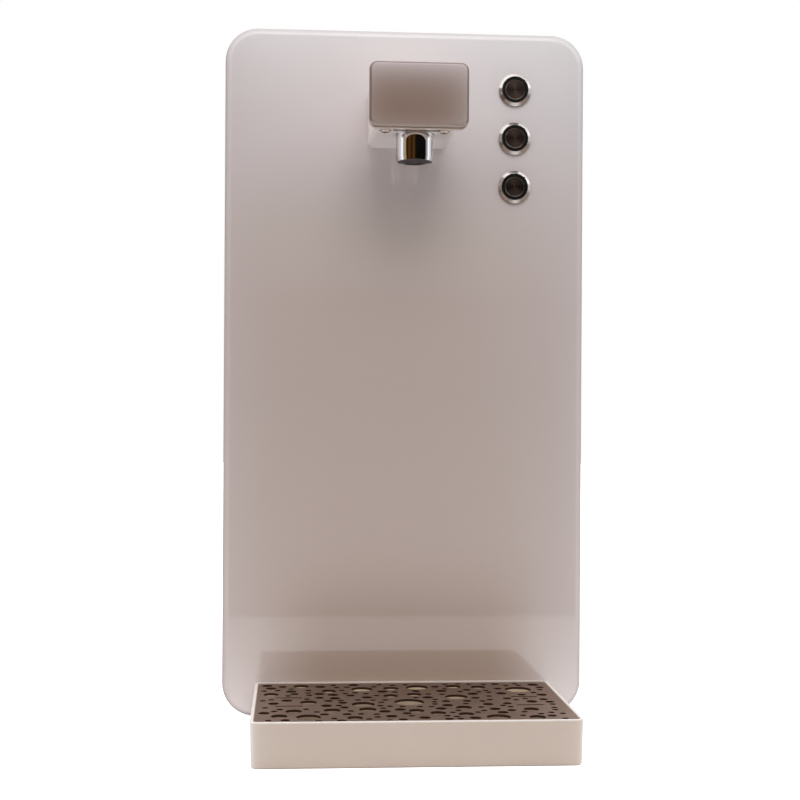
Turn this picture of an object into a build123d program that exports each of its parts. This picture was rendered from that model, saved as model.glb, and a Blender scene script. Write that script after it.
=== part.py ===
from build123d import *
import math
import os
import random

# Countertop water dispenser.
# Millimetres. +X to the right, the front faces -Y, +Z up.
# The origin is on the worktop, under the middle of the whole object.

# ---------------------------------------------------------------- driving dimensions
panel_width = 251.2
panel_height = 477.5
panel_thick = 8.0
panel_corner = 23.0
panel_edge_round = 5.0
panel_bottom = 4.0

tray_x = -0.9
tray_width = 203.0
tray_depth = 127.5
tray_height = 28.2
tray_corner = 5.0
tray_wall = 2.0
tray_draft = 0.65          # each side is this much further in at the bottom
tray_gap = 0.5             # between the tray's back and the panel
grille_thick = 1.5
grille_drop = 1.0          # the plate lies this far under the rim
fit_gap = 0.3              # between bodies that move past each other

casing_inset = 7.0         # the casing is this much smaller than the panel all round
casing_depth = 190.0
sheet = 2.0                # wall of the casing, frame and covers
flange_width = 12.0
foot_height = 12.5
foot_radius = 12.0
rear_reach = 18.0          # the fittings stand this far out of the back

spout_x = 2.15             # the nozzle's axis and its pipe
spout_z = 419.7
spout_reach = 70.0
cover_x = 2.9
cover_z = 420.95
cover_width = 64.9
cover_height = 41.7
cover_corner = 5.2
cover_thick = 3.5
cover_edge_round = 2.2
cover_frame_thick = 5.0
cover_frame_lip = 0.9      # the frame shows this much below the cover
housing_x = 0.5
housing_bottom = 399.3
housing_top = 437.9
housing_width = 54.6
housing_wall = 2.5
nozzle_offset = 45.0       # from the panel's face to the nozzle's axis
nozzle_radius = 12.35
nozzle_bottom = 381.15
aerator_radius = 10.9
pipe_radius = 7.0
water_bore = 4.0

button_x = 76.2
button_zs = [441.4, 407.4, 373.4]
bezel_radius = 11.3
bezel_height = 3.0
bezel_edge = 1.3           # height of the bezel where its bevel ends
barrel_radius = 9.45
ring_radius = 8.9
cap_radius = 6.9

tube_radius = 4.0
tube_bore = 2.5

# ---------------------------------------------------------------- derived places
total_depth = tray_depth + tray_gap + panel_thick + casing_depth + rear_reach
tray_front = -total_depth / 2
tray_back = tray_front + tray_depth
tray_mid = (tray_front + tray_back) / 2
face_y = tray_back + tray_gap
panel_back = face_y + panel_thick
frame_back = panel_back + sheet
casing_back = panel_back + casing_depth
cover_inner = casing_back - sheet
panel_top = panel_bottom + panel_height
panel_mid_z = panel_bottom + panel_height / 2

casing_half = panel_width / 2 - casing_inset
casing_top = panel_top - casing_inset
casing_corner = panel_corner - casing_inset
inner_half = casing_half - sheet
floor_z = foot_height + sheet

spout_front = face_y - spout_reach
cover_back = spout_front + cover_thick
spout_frame_back = cover_back + cover_frame_thick
nozzle_y = face_y - nozzle_offset


# ---------------------------------------------------------------- shape helpers
def block(low, high):
    """Box between two opposite corners."""
    size = [b - a for a, b in zip(low, high)]
    centre = [(a + b) / 2 for a, b in zip(low, high)]
    return Pos(*centre) * Box(*size)


def rod_x(radius, y, z, x0, x1):
    """Round bar along X."""
    return Pos((x0 + x1) / 2, y, z) * Rot(0, 90, 0) * Cylinder(radius, x1 - x0)


def rod_y(radius, x, z, y0, y1):
    """Round bar along Y."""
    return Pos(x, (y0 + y1) / 2, z) * Rot(90, 0, 0) * Cylinder(radius, y1 - y0)


def rod_z(radius, x, y, z0, z1):
    """Round bar along Z."""
    return Pos(x, y, (z0 + z1) / 2) * Cylinder(radius, z1 - z0)


def plate_y(width, height, corner, x, z, y0, y1):
    """Rounded rectangle seen from the front, y0 to y1 deep."""
    plane = Plane(origin=(x, y0, z), x_dir=(1, 0, 0), z_dir=(0, 1, 0))
    return extrude(plane * RectangleRounded(width, height, corner), amount=y1 - y0)


def plate_z(width, depth, corner, x, y, z0, z1):
    """Rounded rectangle seen from above, z0 to z1 high."""
    return Pos(x, y, z0) * extrude(RectangleRounded(width, depth, corner), amount=z1 - z0)


def hexagon_y(across_flats, x, z, y0, y1):
    """Hexagonal bar along Y."""
    plane = Plane(origin=(x, y0, z), x_dir=(1, 0, 0), z_dir=(0, 1, 0))
    corner_radius = across_flats / math.sqrt(3)
    return extrude(plane * RegularPolygon(corner_radius, 6), amount=y1 - y0)


def lathe_y(profile, x, z):
    """Turned solid about a line along Y, from (radius, y) points."""
    face = make_face(Polyline(*profile, close=True))
    return Pos(x, 0, z) * revolve(face, Axis.Y)


def lathe_z(profile, x, y):
    """Turned solid about a line along Z, from (radius, z) points."""
    face = Plane.XZ * make_face(Polyline(*profile, close=True))
    return Pos(x, y, 0) * revolve(face, Axis.Z)


def front_edges(shape):
    """The edges that lie in the shape's front face."""
    return shape.edges().group_by(Axis.Y)[0]


def arch_y(half_width, top, corner, y0, y1):
    """The casing's outline, square at the bottom and rounded at the top."""
    drop = 2 * corner
    height = top - foot_height + drop
    solid = plate_y(2 * half_width, height, corner, 0, top - height / 2, y0, y1)
    below = block((-half_width, y0 - 1, foot_height - drop - 1), (half_width, y1 + 1, foot_height))
    return solid - below


def group(solids):
    """Several separate solids in one node."""
    return Compound(children=list(solids))


parts = {}

# ---------------------------------------------------------------- front panel and casing
spout_pipe_hole = pipe_radius + 1.0
frame_turn = 14.0          # depth of the frame's turned edge
housing_screw_xs = [housing_x + side * 20.0 for side in (-1, 1)]
screw_hole = 2.2
housing_screw_z = spout_z + 10.0


def front_panel():
    """Thick moulded front plate, rounded over all round, with its holes."""
    solid = plate_y(panel_width, panel_height, panel_corner, 0, panel_mid_z, face_y, panel_back)
    solid = fillet(front_edges(solid), panel_edge_round)
    for z in button_zs:
        solid -= rod_y(barrel_radius + 0.25, button_x, z, face_y - 1, panel_back + 1)
    solid -= rod_y(spout_pipe_hole, spout_x, spout_z, face_y - 1, panel_back + 1)
    for x in housing_screw_xs:
        solid -= rod_y(screw_hole, x, housing_screw_z, face_y - 1, panel_back + 1)
    return solid


def panel_frame():
    """Folded steel frame behind the front plate, with a turned edge all round."""
    turn = frame_turn
    solid = arch_y(inner_half, casing_top - sheet, casing_corner - sheet, panel_back, panel_back + turn)
    hollow_corner = casing_corner - 2 * sheet
    hollow_top = casing_top - 2 * sheet
    solid -= arch_y(inner_half - sheet, hollow_top, hollow_corner, frame_back, panel_back + turn + 1)
    solid -= block((-inner_half, panel_back - 1, foot_height - 1), (inner_half, panel_back + turn + 1, floor_z))
    solid -= plate_y(176, 250, 10, 0, 200, panel_back - 1, frame_back + 1)
    for z in button_zs:
        solid -= rod_y(barrel_radius + 0.25, button_x, z, panel_back - 1, frame_back + 1)
    solid -= rod_y(spout_pipe_hole, spout_x, spout_z, panel_back - 1, frame_back + 1)
    for x in housing_screw_xs:
        solid -= rod_y(screw_hole, x, housing_screw_z, panel_back - 1, frame_back + 1)
    return solid


cover_screw_radius = 1.9
cover_screw_length = 7.5
screw_head = 3.6
cover_screw_half = inner_half - flange_width / 2
cover_screw_top = casing_top - sheet - flange_width / 2
cover_screw_points = [(side * cover_screw_half, z) for side in (-1, 1) for z in (60, 190, 320, 440)]
cover_screw_points += [(side * 60, cover_screw_top) for side in (-1, 1)]


def casing_shell():
    """Sheet wrapped over the two sides and the top, with an inner flange at the back."""
    solid = arch_y(casing_half, casing_top, casing_corner, panel_back, casing_back)
    solid -= arch_y(inner_half, casing_top - sheet, casing_corner - sheet, panel_back - 1, casing_back + 1)
    flange = arch_y(inner_half, casing_top - sheet, casing_corner - sheet, cover_inner - sheet, cover_inner)
    flange -= block((-inner_half + flange_width, cover_inner - 2 * sheet, 0),
                    (inner_half - flange_width, cover_inner + sheet, casing_top - sheet - flange_width))
    flange -= block((-inner_half, cover_inner - 2 * sheet, 0), (inner_half, cover_inner + sheet, 24))
    solid += flange
    for x, z in cover_screw_points:
        solid -= rod_y(cover_screw_radius + 0.05, x, z, cover_inner - 2 * sheet, cover_inner + 1)
    return solid


foot_x = 94.0
foot_ys = [panel_back + 24, casing_back - 24]
foot_points = [(side * foot_x, y) for side in (-1, 1) for y in foot_ys]


def base_plate():
    """Floor of the casing, with turned-up sides and holes for the feet."""
    lip = 12.0
    gauge = 1.5
    solid = block((-inner_half, panel_back, foot_height), (inner_half, cover_inner, floor_z))
    for side in (-1, 1):
        x = side * (inner_half - gauge / 2)
        low = (x - gauge / 2, panel_back + frame_turn, floor_z)
        solid += block(low, (x + gauge / 2, cover_inner - sheet, floor_z + lip))
    for x, y in foot_points:
        solid -= rod_z(3.0, x, y, foot_height - 1, floor_z + 1)
    for column in range(-4, 5):
        solid -= plate_z(4, 40, 1.9, column * 12, 60, foot_height - 1, floor_z + 1)
    return solid


def rubber_foot(x, y):
    """Tapered foot with a plug that grips the hole in the floor."""
    profile = [(0, 0), (foot_radius - 1, 0), (foot_radius, 1), (foot_radius - 2, foot_height),
               (2.95, foot_height), (2.95, floor_z), (4.4, floor_z), (3.6, floor_z + 2.5), (0, floor_z + 2.5)]
    return lathe_z(profile, x, y)


parts["front_panel"] = front_panel()
parts["panel_frame"] = panel_frame()
parts["casing_shell"] = casing_shell()
parts["base_plate"] = base_plate()
parts["rubber_feet"] = group(rubber_foot(x, y) for x, y in foot_points)

# ---------------------------------------------------------------- rear cover
fan_x = -50.0
fan_z = 135.0
fan_side = 92.0
fan_bore = 43.0
inlet_x = -88.0
drain_x = -50.0
fitting_z = 40.0
power_x = 75.0
power_z = 46.0
rocker_xs = {"hot": 58.0, "cold": 92.0}
rocker_z = 92.0
rocker_cut = (13.2, 19.4)
power_cut = (27.4, 20.0)
vent_pitch = 7.0


def vent_points(x, z, radius):
    """Centres of a honeycomb of holes inside a circle."""
    row_step = vent_pitch * math.sqrt(3) / 2
    rows = int(radius // row_step)
    points = []
    for row in range(-rows, rows + 1):
        shift = vent_pitch / 2 if row % 2 else 0
        for column in range(-rows - 1, rows + 2):
            px = column * vent_pitch + shift
            pz = row * row_step
            if math.hypot(px, pz) <= radius:
                points.append((x + px, z + pz))
    return points


def rear_cover():
    """Flat back with a fan grille, two banks of louvres and the connections' holes."""
    clear = 0.3
    top = casing_top - sheet - clear
    solid = arch_y(inner_half - clear, top, casing_corner - sheet, cover_inner, casing_back)
    plane = Plane(origin=(0, cover_inner - 1, 0), x_dir=(1, 0, 0), z_dir=(0, -1, 0))
    holes = Sketch()
    for x, z in vent_points(fan_x, fan_z, fan_bore - 4):
        holes += Pos(x, z) * Circle(2.6)
    for row in range(7):
        for x in (-52, 52):
            holes += Pos(x, 398 + row * 8) * SlotOverall(72, 3.4)
    for row in range(7):
        holes += Pos(64, 150 + row * 8) * SlotOverall(60, 3.4)
    solid -= extrude(plane * holes, amount=-4 * sheet)
    for x, z in cover_screw_points:
        solid -= rod_y(screw_hole, x, z, cover_inner - 1, casing_back + 1)
    solid -= rod_y(8.0, inlet_x, fitting_z, cover_inner - 1, casing_back + 1)
    solid -= rod_y(9.0, drain_x, fitting_z, cover_inner - 1, casing_back + 1)
    solid -= plate_y(*power_cut, 3.0, power_x, power_z, cover_inner - 1, casing_back + 1)
    for x in rocker_xs.values():
        solid -= plate_y(*rocker_cut, 0.8, x, rocker_z, cover_inner - 1, casing_back + 1)
    return solid


def pan_screw_y(x, z, seat, length, head_radius, shank_radius):
    """Pan-head screw along Y, its head behind the seat, with a cross recess."""
    head = 2.2
    profile = [(0, seat - length), (shank_radius, seat - length), (shank_radius, seat), (head_radius, seat),
               (head_radius, seat + head * 0.45), (head_radius * 0.7, seat + head * 0.9), (0, seat + head)]
    solid = lathe_y(profile, x, z)
    for turn in (0, 90):
        solid -= Pos(x, seat + head, z) * Rot(0, turn, 0) * Box(head_radius * 1.1, 2.0, 0.9)
    return solid


def rear_screw(x, z):
    """One of the screws that hold the rear cover to the casing's flange."""
    return pan_screw_y(x, z, casing_back, cover_screw_length, screw_head, cover_screw_radius)


parts["rear_cover"] = rear_cover()
parts["rear_cover_screws"] = group(rear_screw(x, z) for x, z in cover_screw_points)

# ---------------------------------------------------------------- spout
slot_half = 15.5
spout_screw_points = [1.15 + side * 19.3 for side in (-1, 1)]
spout_screw_y = spout_frame_back + 5.0
spout_screw_head = 3.5
housing_mid_z = (housing_bottom + housing_top) / 2
cover_frame_top = cover_z + cover_height / 2 - 0.4
cover_frame_bottom = cover_z - cover_height / 2 - cover_frame_lip
counterbore_radius = spout_screw_head + 0.7
housing_screw_radius = 1.65
housing_screw_length = 22.0
counterbore_depth = 1.0
elbow_collar = 11.0


def spout_cover():
    """Frosted front plate with a rounded edge."""
    solid = plate_y(cover_width, cover_height, cover_corner, cover_x, cover_z, spout_front, cover_back)
    return fillet(front_edges(solid), cover_edge_round)


def spout_cover_frame():
    """Moulded backing of the cover, a little lower than it, with two lugs for the screws."""
    height = cover_frame_top - cover_frame_bottom
    mid_z = (cover_frame_top + cover_frame_bottom) / 2
    corner = cover_corner - 0.4
    solid = plate_y(cover_width - 0.8, height, corner, cover_x, mid_z, cover_back, spout_frame_back)
    solid -= plate_y(46, 26, 3, housing_x, spout_z, cover_back + 1.5, spout_frame_back + 1)
    lug_bottom = housing_bottom + housing_wall + 0.2
    for x in spout_screw_points:
        lug = block((x - 4, spout_frame_back - 1, lug_bottom), (x + 4, spout_screw_y + 5, lug_bottom + 6))
        solid += lug
        solid -= rod_z(1.5, x, spout_screw_y, lug_bottom - 1, lug_bottom + 5)
    return solid


def spout_housing():
    """Hollow box on the panel, open at the front, with a slot and the nozzle's hole underneath."""
    height = housing_top - housing_bottom
    solid = plate_y(housing_width, height, 3.0, housing_x, housing_mid_z, spout_frame_back, face_y)
    hollow_width = housing_width - 2 * housing_wall
    hollow_height = height - 2 * housing_wall
    front = spout_frame_back - 1
    solid -= plate_y(hollow_width, hollow_height, 1.5, housing_x, housing_mid_z, front, face_y - 3.0)
    below = housing_bottom - 1
    above = housing_bottom + housing_wall + 1
    slot_back = nozzle_y - nozzle_radius + 2
    solid -= block((spout_x - slot_half, front, below), (spout_x + slot_half, slot_back, above))
    solid -= rod_z(nozzle_radius + 0.35, spout_x, nozzle_y, below, above)
    solid -= rod_y(pipe_radius + 0.2, spout_x, spout_z, face_y - 5, face_y + 1)
    for x in spout_screw_points:
        solid -= rod_z(counterbore_radius, x, spout_screw_y, below, housing_bottom + counterbore_depth)
        solid -= rod_z(1.8, x, spout_screw_y, below, above)
    for x in housing_screw_xs:
        solid += rod_y(4.0, x, housing_screw_z, face_y - 16, face_y - 2.5)
        solid -= rod_y(housing_screw_radius, x, housing_screw_z, face_y - 14, face_y + 1)
    return solid


def spout_screw(x):
    """Pan-head screw that holds the cover, head down."""
    seat = housing_bottom + counterbore_depth
    rim = spout_screw_head
    tip = seat + 6.3
    profile = [(0, tip), (1.5, tip), (1.5, seat), (rim, seat), (rim, seat - 1.1), (rim - 1, seat - 2.2),
               (0, seat - 2.5)]
    solid = lathe_z(profile, x, spout_screw_y)
    solid -= Pos(x, spout_screw_y, seat - 2.5) * Box(4.0, 0.9, 2.0)
    solid -= Pos(x, spout_screw_y, seat - 2.5) * Box(0.9, 4.0, 2.0)
    return solid


def housing_screw(x):
    """Screw from behind the frame into a boss of the spout housing."""
    return pan_screw_y(x, housing_screw_z, frame_back, housing_screw_length, screw_head, housing_screw_radius)


nozzle_top = 408.0
gasket_thick = 1.5
elbow_tail = panel_back + 34.0


def nozzle_body():
    """Chromed sleeve, a little narrower at the mouth, with a threaded neck on top."""
    mouth = nozzle_radius - 0.6
    seat = aerator_radius + 0.02
    profile = [(water_bore, nozzle_bottom + 9), (seat, nozzle_bottom + 9), (seat, nozzle_bottom),
               (mouth, nozzle_bottom), (nozzle_radius, nozzle_bottom + 3.4), (nozzle_radius, nozzle_top),
               (water_bore, nozzle_top)]
    return lathe_z(profile, spout_x, nozzle_y)


def aerator_insert():
    """Dark outlet insert with a honeycomb of small holes."""
    low = nozzle_bottom + 0.3
    high = nozzle_bottom + 8.8
    solid = rod_z(aerator_radius, spout_x, nozzle_y, low, high)
    solid -= rod_z(aerator_radius - 1.6, spout_x, nozzle_y, low + 2.0, high + 1)
    solid -= rod_z(aerator_radius - 1.2, spout_x, nozzle_y, low - 1, low + 0.4)
    pitch = 2.4
    for row in range(-3, 4):
        for column in range(-4, 5):
            dx = (column + (0.5 if row % 2 else 0)) * pitch
            dy = row * pitch * math.sqrt(3) / 2
            if math.hypot(dx, dy) < 8.0:
                solid -= rod_z(0.8, spout_x + dx, nozzle_y + dy, low - 1, low + 3)
    return solid


def nozzle_gasket():
    """Flat ring between the nozzle and the outlet elbow."""
    return rod_z(nozzle_radius, spout_x, nozzle_y, nozzle_top, nozzle_top + gasket_thick) - rod_z(
        water_bore, spout_x, nozzle_y, nozzle_top - 1, nozzle_top + gasket_thick + 1)


def spout_elbow():
    """Outlet elbow: down into the nozzle, back through the panel, two hose stubs behind."""
    low = nozzle_top + gasket_thick
    solid = block((spout_x - 12, nozzle_y - 12, low), (spout_x + 12, nozzle_y + 12, spout_z + 11))
    solid += rod_y(pipe_radius, spout_x, spout_z, nozzle_y + 10, elbow_tail - 10)
    solid += rod_y(elbow_collar, spout_x, spout_z, face_y - 6, face_y - 3)
    solid += block((spout_x - 10, elbow_tail - 20, spout_z - 10), (spout_x + 10, elbow_tail, spout_z + 10))
    solid += rod_y(tube_radius, spout_x, spout_z, elbow_tail - 1, elbow_tail + 8)
    solid += rod_z(tube_radius, spout_x, elbow_tail - 10, spout_z - 18, spout_z - 9)
    solid -= rod_z(water_bore, spout_x, nozzle_y, low - 1, spout_z)
    solid -= rod_y(water_bore, spout_x, spout_z, nozzle_y, elbow_tail - 10)
    solid -= rod_y(tube_bore, spout_x, spout_z, elbow_tail - 12, elbow_tail + 9)
    solid -= rod_z(tube_bore, spout_x, elbow_tail - 10, spout_z - 19, spout_z)
    return solid


def spout_nut():
    """Hexagonal nut that clamps the elbow's pipe behind the frame."""
    nut = hexagon_y(24, spout_x, spout_z, frame_back, frame_back + 6)
    return nut - rod_y(pipe_radius + 0.02, spout_x, spout_z, frame_back - 1, frame_back + 7)


parts["spout_cover"] = spout_cover()
parts["spout_cover_frame"] = spout_cover_frame()
parts["spout_housing"] = spout_housing()
parts["spout_cover_screws"] = group(spout_screw(x) for x in spout_screw_points)
parts["spout_housing_screws"] = group(housing_screw(x) for x in housing_screw_xs)
parts["nozzle_body"] = nozzle_body()
parts["aerator_insert"] = aerator_insert()
parts["nozzle_gasket"] = nozzle_gasket()
parts["spout_elbow"] = spout_elbow()
parts["spout_nut"] = spout_nut()

# ---------------------------------------------------------------- push buttons
ring_back = face_y + 1.0
cap_face = face_y - bezel_height - 0.1
cap_back = face_y + 0.4
barrel_back = face_y + 22.0
stem_radius = 3.0
seal_groove = 0.8
bezel_notch = 1.2


def button_bezel(z):
    """Stainless body of a switch: bevelled flange in front, threaded barrel behind."""
    front = face_y - bezel_height
    bore = ring_radius + 0.02
    groove = barrel_radius + 1.6
    inner = ring_radius - 1.2
    seat = face_y - seal_groove
    profile = [(bore, front), (ring_radius + 0.4, front), (bezel_radius, face_y - bezel_edge),
               (bezel_radius, face_y), (groove, face_y), (groove, seat), (barrel_radius, seat),
               (barrel_radius, barrel_back), (inner, barrel_back), (inner, ring_back), (bore, ring_back)]
    solid = lathe_y(profile, button_x, z)
    reach = (ring_radius + bezel_radius) / 2 + 0.3
    notch = Box(bezel_radius - ring_radius + 2, 0.9, bezel_notch)
    return solid - Pos(button_x, face_y - bezel_height, z) * Rot(0, -45, 0) * Pos(reach, 0, 0) * notch


def button_ring(z):
    """Black light ring pressed into the bezel, with a guide for the cap."""
    front = face_y - bezel_height + 0.3
    bore = cap_radius + fit_gap
    guide = stem_radius + 0.1
    inner = ring_radius - 1.2
    tail = ring_back + 4.2
    profile = [(bore, front), (ring_radius, front), (ring_radius, ring_back), (inner, ring_back),
               (inner, ring_back + 2.2), (inner - 0.05, tail), (guide, tail), (guide, ring_back + 2.0),
               (bore, ring_back + 2.0)]
    return lathe_y(profile, button_x, z)


def button_cap(z):
    """Round cap with a fine raised rim and a guide stem."""
    rim = 0.6
    profile = [(0, cap_face + 0.25), (cap_radius - rim, cap_face + 0.25), (cap_radius - rim + 0.1, cap_face),
               (cap_radius - 0.25, cap_face), (cap_radius, cap_face + 0.25), (cap_radius, cap_back),
               (stem_radius, cap_back), (stem_radius, cap_back + 9.0), (0, cap_back + 9.0)]
    return lathe_y(profile, button_x, z)


def button_seal(z):
    """Flat rubber ring under the flange."""
    outer = rod_y(barrel_radius + 1.6, button_x, z, face_y - seal_groove, face_y)
    return outer - rod_y(barrel_radius, button_x, z, face_y - 2, face_y + 1)


def button_nut(z):
    """Thin hexagonal nut on the barrel, behind the frame."""
    nut = hexagon_y(23, button_x, z, frame_back, frame_back + 3)
    return nut - rod_y(barrel_radius, button_x, z, frame_back - 1, frame_back + 4)


def button_switch(z):
    """Contact block at the end of the barrel, with its solder tags."""
    front = barrel_back
    back = barrel_back + 9
    solid = rod_y(barrel_radius - 0.6, button_x, z, front, back)
    solid -= rod_y(stem_radius + 1.5, button_x, z, front - 1, front + 1)
    for dx in (-4.5, 4.5):
        for dz in (-2.5, 2.5):
            tag = Box(0.8, 7, 2.4)
            solid += Pos(button_x + dx, back + 2.5, z + dz) * tag
    return solid


for number, z in enumerate(button_zs, start=1):
    parts[f"button_bezel_{number}"] = button_bezel(z)
    parts[f"button_ring_{number}"] = button_ring(z)
    parts[f"button_cap_{number}"] = button_cap(z)
parts["button_seals"] = group(button_seal(z) for z in button_zs)
parts["button_nuts"] = group(button_nut(z) for z in button_zs)
parts["button_switches"] = group(button_switch(z) for z in button_zs)

# ---------------------------------------------------------------- drip tray and its plate
grille_top = tray_height - grille_drop
grille_bottom = grille_top - grille_thick
ledge_z = grille_bottom - 0.2
plate_width = tray_width - 2 * tray_wall - 2 * fit_gap
plate_depth = tray_depth - 2 * tray_wall - 2 * fit_gap
tray_floor = 2.4
ledge = 2.5


def drip_tray():
    """Open tray with a ledge round the inside and a rounded rim."""
    draft_angle = math.degrees(math.atan2(tray_draft, tray_height))
    foot = RectangleRounded(tray_width - 2 * tray_draft, tray_depth - 2 * tray_draft, tray_corner - tray_draft)
    solid = Pos(tray_x, tray_mid, 0) * extrude(foot, amount=tray_height, taper=-draft_angle)
    solid = chamfer(solid.edges().group_by(Axis.Z)[0], 0.9)
    solid = fillet(solid.edges().group_by(Axis.Z)[-1], 0.5)
    seat_width = tray_width - 2 * tray_wall
    seat_depth = tray_depth - 2 * tray_wall
    seat_corner = tray_corner - tray_wall
    solid -= plate_z(seat_width, seat_depth, seat_corner, tray_x, tray_mid, ledge_z, tray_height + 1)
    pan_width = seat_width - 2 * ledge
    pan_depth = seat_depth - 2 * ledge
    solid -= plate_z(pan_width, pan_depth, seat_corner, tray_x, tray_mid, tray_floor, ledge_z + 1)
    return solid


# Round holes of the plate, measured from its middle: x, y, radius.
finger_hole = (-0.5, -2.5, 9.7)
large_holes = [
    finger_hole, (77, 36, 8.8), (-66, -45, 7.6), (51, -49, 7.4), (9, 46, 7.4), (-29, 41, 7.1),
    (-30.5, -8.5, 7.4), (32, 13, 7.4), (-28.5, -24, 5.6), (2, -29, 5), (15, -36, 5), (-11, 18, 5),
    (-9, 43, 5.3), (-51.5, 35.5, 5), (-70, 52, 5.3), (-65.5, -1, 5.5), (-51, -26, 5.4), (-75, -28, 5.3),
    (-84, -42, 5.2), (33, -20.5, 5.1), (32, -40, 5), (75, -27.5, 5), (75, -50, 5.2), (-37.5, -48, 4.9),
    (34, 48, 5.3), (51, 45, 5.1), (5, 22, 5), (-90, 25, 5.1), (-18, -30, 3.7), (13, 12, 3.6),
    (-27, 13.5, 3.6), (90, 52, 4), (-93, 55, 3.7),
]
slot_places = [(-78, 14), (-78, -12), (77, 12), (77, -14)]
slot_length = 18.0
slot_width = 2.2
hole_bridge = 2.0
small_hole_sizes = [(3.6, 26), (2.9, 30), (2.1, 95)]
small_hole_tries = 4000


def small_holes():
    """Scatter small holes over the plate between the large ones, none too near another."""
    choice = random.Random(11)
    taken = list(large_holes)
    for x, y in slot_places:
        taken += [(x + step * slot_length / 6, y, slot_width / 2) for step in range(-3, 4)]
    added = []
    for radius, wanted in small_hole_sizes:
        reach_x = plate_width / 2 - radius - hole_bridge
        reach_y = plate_depth / 2 - radius - hole_bridge
        found = 0
        for _ in range(small_hole_tries):
            x = choice.uniform(-reach_x, reach_x)
            y = choice.uniform(-reach_y, reach_y)
            if all(math.hypot(x - a, y - b) > radius + r + hole_bridge for a, b, r in taken):
                taken.append((x, y, radius))
                added.append((x, y, radius))
                found += 1
            if found == wanted:
                break
    return added


def drip_grille():
    """Flat plate with a bubble pattern of round holes and four short slots."""
    outline = RectangleRounded(plate_width, plate_depth, tray_corner - tray_wall)
    holes = [Pos(x, y) * Circle(radius) for x, y, radius in large_holes + small_holes()]
    holes += [Pos(x, y) * SlotOverall(slot_length, slot_width) for x, y in slot_places]
    outline = outline - holes
    return Pos(tray_x, tray_mid, grille_bottom) * extrude(outline, amount=grille_thick)


parts["drip_tray"] = drip_tray()
parts["drip_grille"] = drip_grille()

# ---------------------------------------------------------------- connections at the back
inlet_bore = 3.2
inlet_bore_length = 14.0
rear_end = casing_back + rear_reach
fitting_tail = cover_inner - 22.0
cap_wall_end = casing_back + 2.5
drain_stub = 8.0


def inlet_fitting():
    """Bulkhead push-in fitting for a 6.35 mm tube."""
    collet = inlet_bore + 1.4
    shoulder = cover_inner - 12
    step = rear_end - inlet_bore_length
    profile = [(inlet_bore, rear_end), (collet, rear_end), (collet, rear_end - 2), (7.2, rear_end - 2.6),
               (7.2, casing_back + 5), (11, casing_back + 5), (11, casing_back), (7.9, casing_back),
               (7.9, shoulder), (tube_radius, shoulder), (tube_radius, fitting_tail), (tube_bore, fitting_tail),
               (tube_bore, step), (inlet_bore, step)]
    solid = lathe_y(profile, inlet_x, fitting_z)
    nut = hexagon_y(20, inlet_x, fitting_z, cover_inner - 6, cover_inner)
    return solid + nut - rod_y(inlet_bore - 0.01, inlet_x, fitting_z, cover_inner - 7, cover_inner + 1)


def drain_fitting():
    """Threaded drain stub."""
    mouth = casing_back + 13
    flange = casing_back + 2.2
    profile = [(5, mouth), (drain_stub, mouth), (drain_stub, flange), (12, flange), (12, casing_back),
               (8.9, casing_back), (8.9, cover_inner - 5), (11.5, cover_inner - 5), (11.5, cover_inner - 9),
               (tube_radius, cover_inner - 9), (tube_radius, fitting_tail), (tube_bore, fitting_tail),
               (tube_bore, cover_inner - 4), (5, cover_inner - 4)]
    solid = lathe_y(profile, drain_x, fitting_z)
    washer = hexagon_y(22, drain_x, fitting_z, cover_inner - 5, cover_inner)
    return solid + (washer - rod_y(8.9, drain_x, fitting_z, cover_inner - 6, cover_inner + 1))


def drain_cap():
    """Ribbed cap over the drain stub."""
    radius = 10.5
    inner = drain_stub + fit_gap
    ceiling = casing_back + 13.4
    profile = [(0, ceiling), (inner, ceiling), (inner, cap_wall_end), (radius, cap_wall_end),
               (radius, rear_end - 1), (radius - 1, rear_end), (0, rear_end)]
    solid = lathe_y(profile, drain_x, fitting_z)
    ribs = 24
    for k in range(ribs):
        angle = 2 * math.pi * k / ribs
        x = drain_x + (radius + 0.15) * math.cos(angle)
        z = fitting_z + (radius + 0.15) * math.sin(angle)
        solid -= rod_y(0.6, x, z, cap_wall_end + 2, rear_end + 1)
    return solid


def power_inlet():
    """Snap-in mains inlet: a flanged box with three blades in its socket."""
    mouth = casing_back + 2.5
    solid = plate_y(31, 24.5, 3, power_x, power_z, casing_back, mouth)
    body_width, body_height = (size - 0.2 for size in power_cut)
    solid += plate_y(body_width, body_height, 3.0, power_x, power_z, mouth - 22, casing_back + 0.5)
    plane = Plane(origin=(power_x, mouth + 1, power_z), x_dir=(1, 0, 0), z_dir=(0, -1, 0))
    socket = Polygon((-12, -8.2), (12, -8.2), (12, 3.6), (7.6, 8.2), (-7.6, 8.2), (-12, 3.6), align=None)
    solid -= extrude(plane * socket, amount=18)
    for dx, dz in ((-7, -1.8), (0, 2.2), (7, -1.8)):
        solid += Pos(power_x + dx, mouth - 10, power_z + dz) * Box(2, 16, 4)
    for dx in (-8, 0, 8):
        solid += Pos(power_x + dx, mouth - 25.5, power_z) * Box(0.8, 9, 6)
    return solid


rocker_half = 8.2
rocker_pivot_y = casing_back - 1.0
rocker_rest_tilt = -12.0
rocker_width = 9.8
rocker_pin_radius = 1.0
rocker_pin_reach = 6.2


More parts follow.
